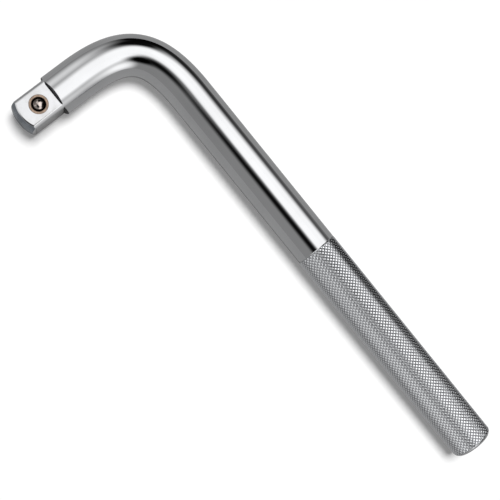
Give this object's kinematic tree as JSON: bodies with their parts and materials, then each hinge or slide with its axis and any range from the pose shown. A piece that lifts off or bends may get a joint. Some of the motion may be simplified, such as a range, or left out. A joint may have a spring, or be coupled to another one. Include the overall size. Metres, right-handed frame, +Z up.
{
  "type": "l-handle socket wrench",
  "caption": "L-shaped socket wrench handle: one bent round bar with a square male drive and sprung detent ball on the short arm, and a diamond-knurled grip on the long arm.",
  "frame": {"origin": "on the surface that the wrench lies on, under the centre of its bounding box", "axes": "+Z up through the drive flat that holds the detent ball; the short arm and its square drive point along -X, the long arm and its grip along -Y"},
  "size_m": [0.0974, 0.3134, 0.0249],
  "materials": {
    "chromed_bar": "bright chrome plate on forged steel, polished shank, plated knurl",
    "copper_ring": "dull copper colour, unplated",
    "hardened_ball": "polished hardened steel",
    "spring_wire": "drawn spring wire"
  },
  "bodies": {
    "wrench": {"handle_bar": "chromed_bar", "retaining_ring": "copper_ring", "detent_spring": "spring_wire"},
    "detent": {"detent_ball": "hardened_ball"}
  },
  "joints": [
    {"name": "detent_press", "type": "slide", "parent": "wrench", "child": "detent", "axis": [0, 0, -1], "range_m": [0, 0.0016], "stiffness_N_per_m": 4600, "springref_m": -0.002, "deforming": ["detent_spring"]}
  ]
}
